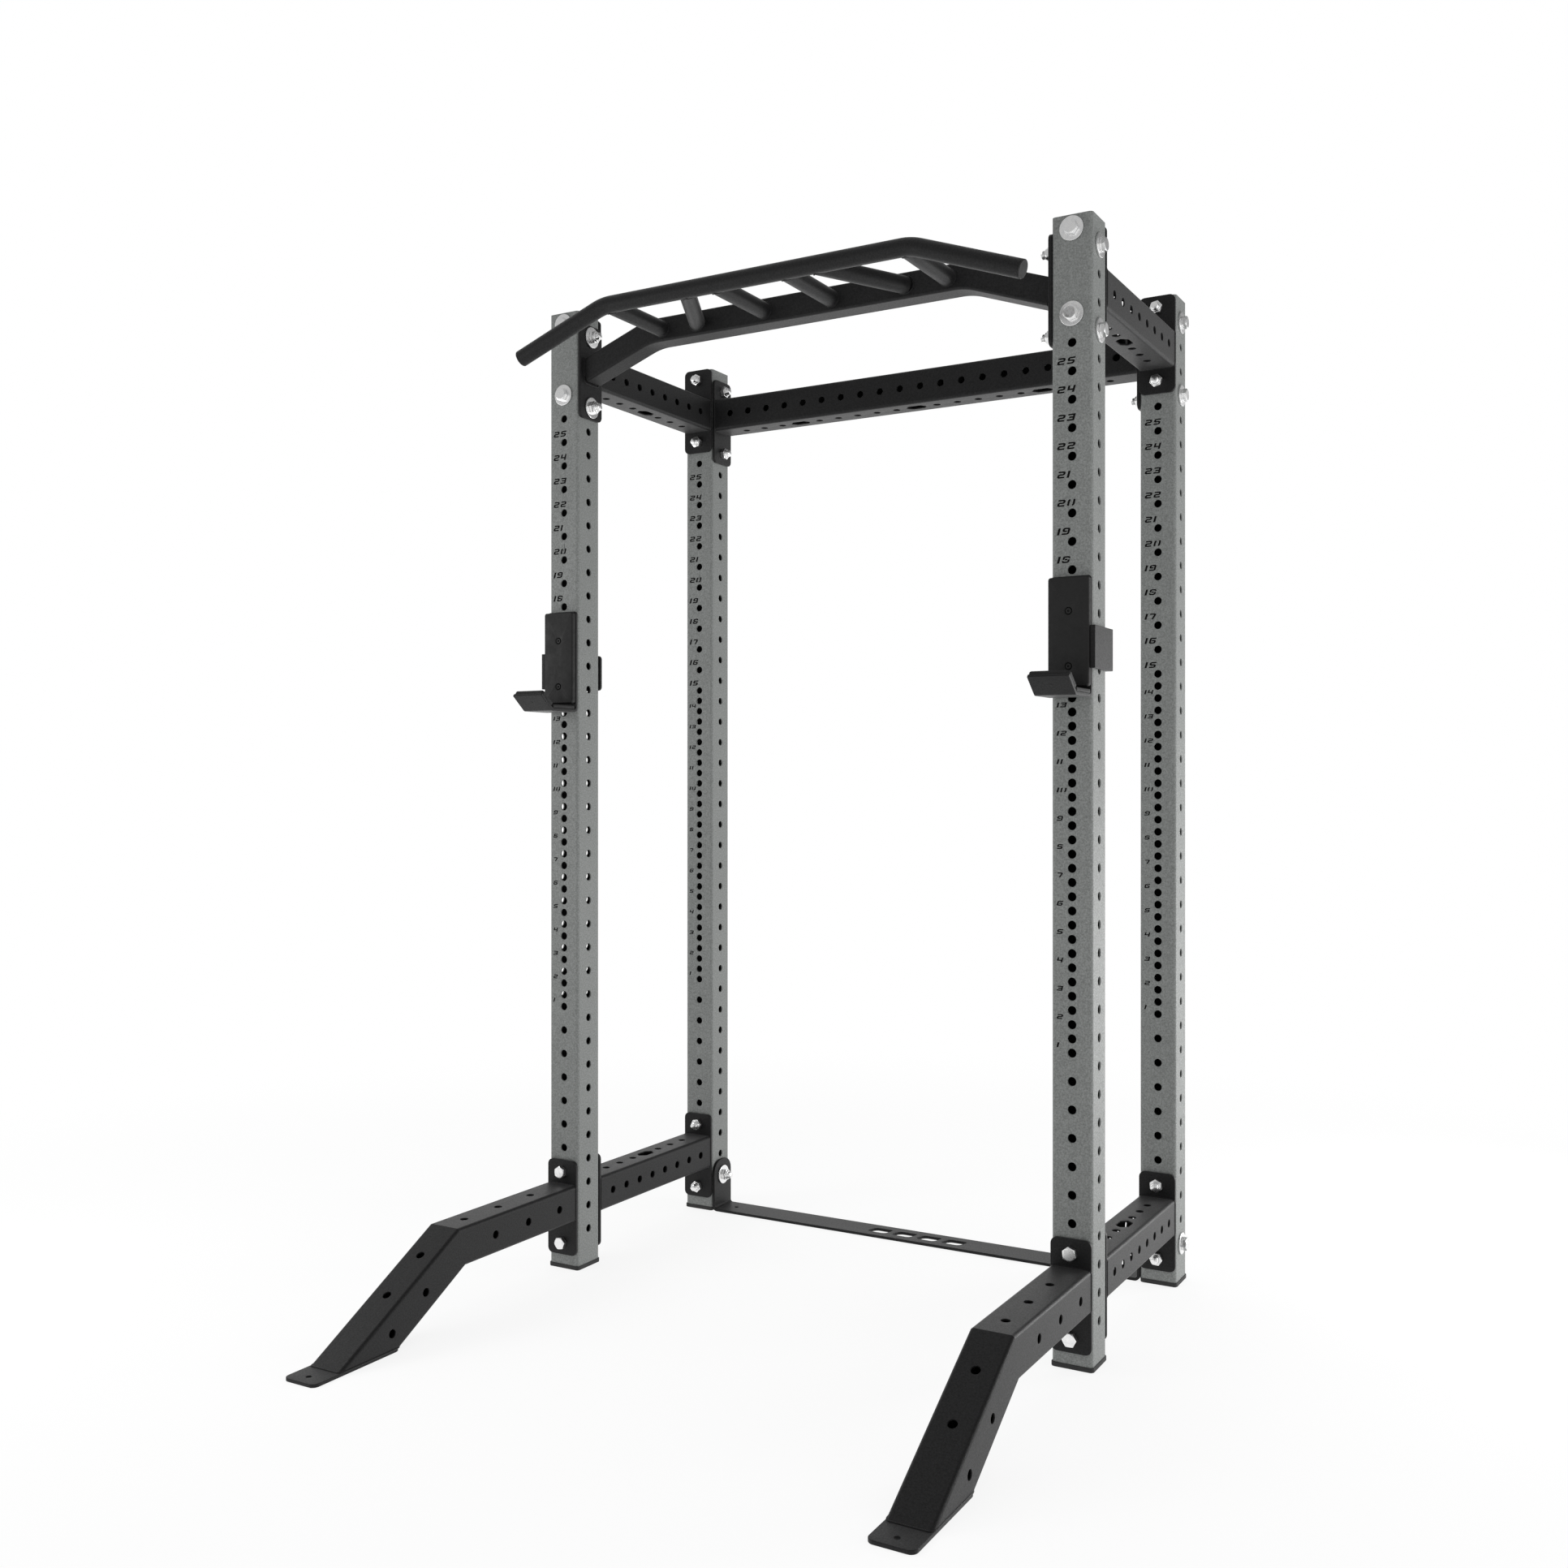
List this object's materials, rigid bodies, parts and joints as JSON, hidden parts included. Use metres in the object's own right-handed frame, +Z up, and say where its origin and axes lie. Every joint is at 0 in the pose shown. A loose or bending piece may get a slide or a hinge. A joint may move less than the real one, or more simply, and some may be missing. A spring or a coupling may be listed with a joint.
{
  "type": "power cage",
  "caption": "Bolted power cage with perforated square uprights, stabilising feet, arched multi-grip pull-up bar and a pair of swing-out bar cups.",
  "frame": {"origin": "on the floor, at the centre of the cage's overall width and depth", "axes": "+X to the right hand upright seen from the front, -Y towards the front where the feet and the pull-up bar point, +Z up"},
  "size_m": [1.247, 1.3635, 2.0638],
  "materials": {
    "grey_coat": "mid-grey fine-texture powder coat, satin",
    "black_coat": "black fine-texture powder coat, semi-matt",
    "zinc_plate": "bright zinc plate",
    "dark_screw": "black oxide",
    "black_plastic": "black moulded polyethylene, slightly glossy",
    "pad_rubber": "black rubber, matt"
  },
  "bodies": {
    "frame": {"upright_front_left": "grey_coat", "upright_front_right": "grey_coat", "upright_rear_left": "grey_coat", "upright_rear_right": "grey_coat", "front_foot_left": "black_coat", "front_foot_right": "black_coat", "crossmember_top_left": "black_coat", "crossmember_top_right": "black_coat", "crossmember_bottom_left": "black_coat", "crossmember_bottom_right": "black_coat", "crossmember_rear": "black_coat", "pull_up_bar": "black_coat", "sill": "black_coat", "bolt_bar_low_left": "zinc_plate", "bolt_bar_low_right": "zinc_plate", "bolt_bar_high_left": "zinc_plate", "bolt_bar_high_right": "zinc_plate", "bolt_rear_low_left": "zinc_plate", "bolt_rear_low_right": "zinc_plate", "bolt_rear_high_left": "zinc_plate", "bolt_rear_high_right": "zinc_plate", "bolt_top_front_low_left": "zinc_plate", "bolt_top_front_low_right": "zinc_plate", "bolt_top_front_high_left": "zinc_plate", "bolt_top_front_high_right": "zinc_plate", "bolt_top_rear_low_left": "zinc_plate", "bolt_top_rear_low_right": "zinc_plate", "bolt_top_rear_high_left": "zinc_plate", "bolt_top_rear_high_right": "zinc_plate", "bolt_foot_low_left": "zinc_plate", "bolt_foot_low_right": "zinc_plate", "bolt_foot_high_left": "zinc_plate", "bolt_foot_high_right": "zinc_plate", "bolt_floor_rear_low_left": "zinc_plate", "bolt_floor_rear_low_right": "zinc_plate", "bolt_floor_rear_high_left": "zinc_plate", "bolt_floor_rear_high_right": "zinc_plate", "bolt_sill_left": "zinc_plate", "bolt_sill_right": "zinc_plate", "top_plug_front_left": "black_plastic", "top_plug_front_right": "black_plastic", "top_plug_rear_left": "black_plastic", "top_plug_rear_right": "black_plastic", "bar_plug_left": "black_plastic", "bar_plug_right": "black_plastic", "foot_pad_front_left": "pad_rubber", "foot_pad_front_right": "pad_rubber", "foot_pad_rear_left": "pad_rubber", "foot_pad_rear_right": "pad_rubber"},
    "left_j_cup": {"cup_steel_left": "black_coat", "cup_back_liner_left": "black_plastic", "cup_hook_liner_left": "black_plastic", "cup_screw_top_left": "dark_screw", "cup_screw_low_left": "dark_screw"},
    "right_j_cup": {"cup_steel_right": "black_coat", "cup_back_liner_right": "black_plastic", "cup_hook_liner_right": "black_plastic", "cup_screw_top_right": "dark_screw", "cup_screw_low_right": "dark_screw"}
  },
  "joints": [
    {"name": "left_cup_swing", "type": "hinge", "parent": "frame", "child": "left_j_cup", "pos_m": [-0.5715, 0.0584, 1.37795], "axis": [0, 1, 0], "range_deg": [0, 90]},
    {"name": "right_cup_swing", "type": "hinge", "parent": "frame", "child": "right_j_cup", "pos_m": [0.5715, 0.0584, 1.37795], "axis": [0, -1, 0], "range_deg": [0, 90]}
  ]
}
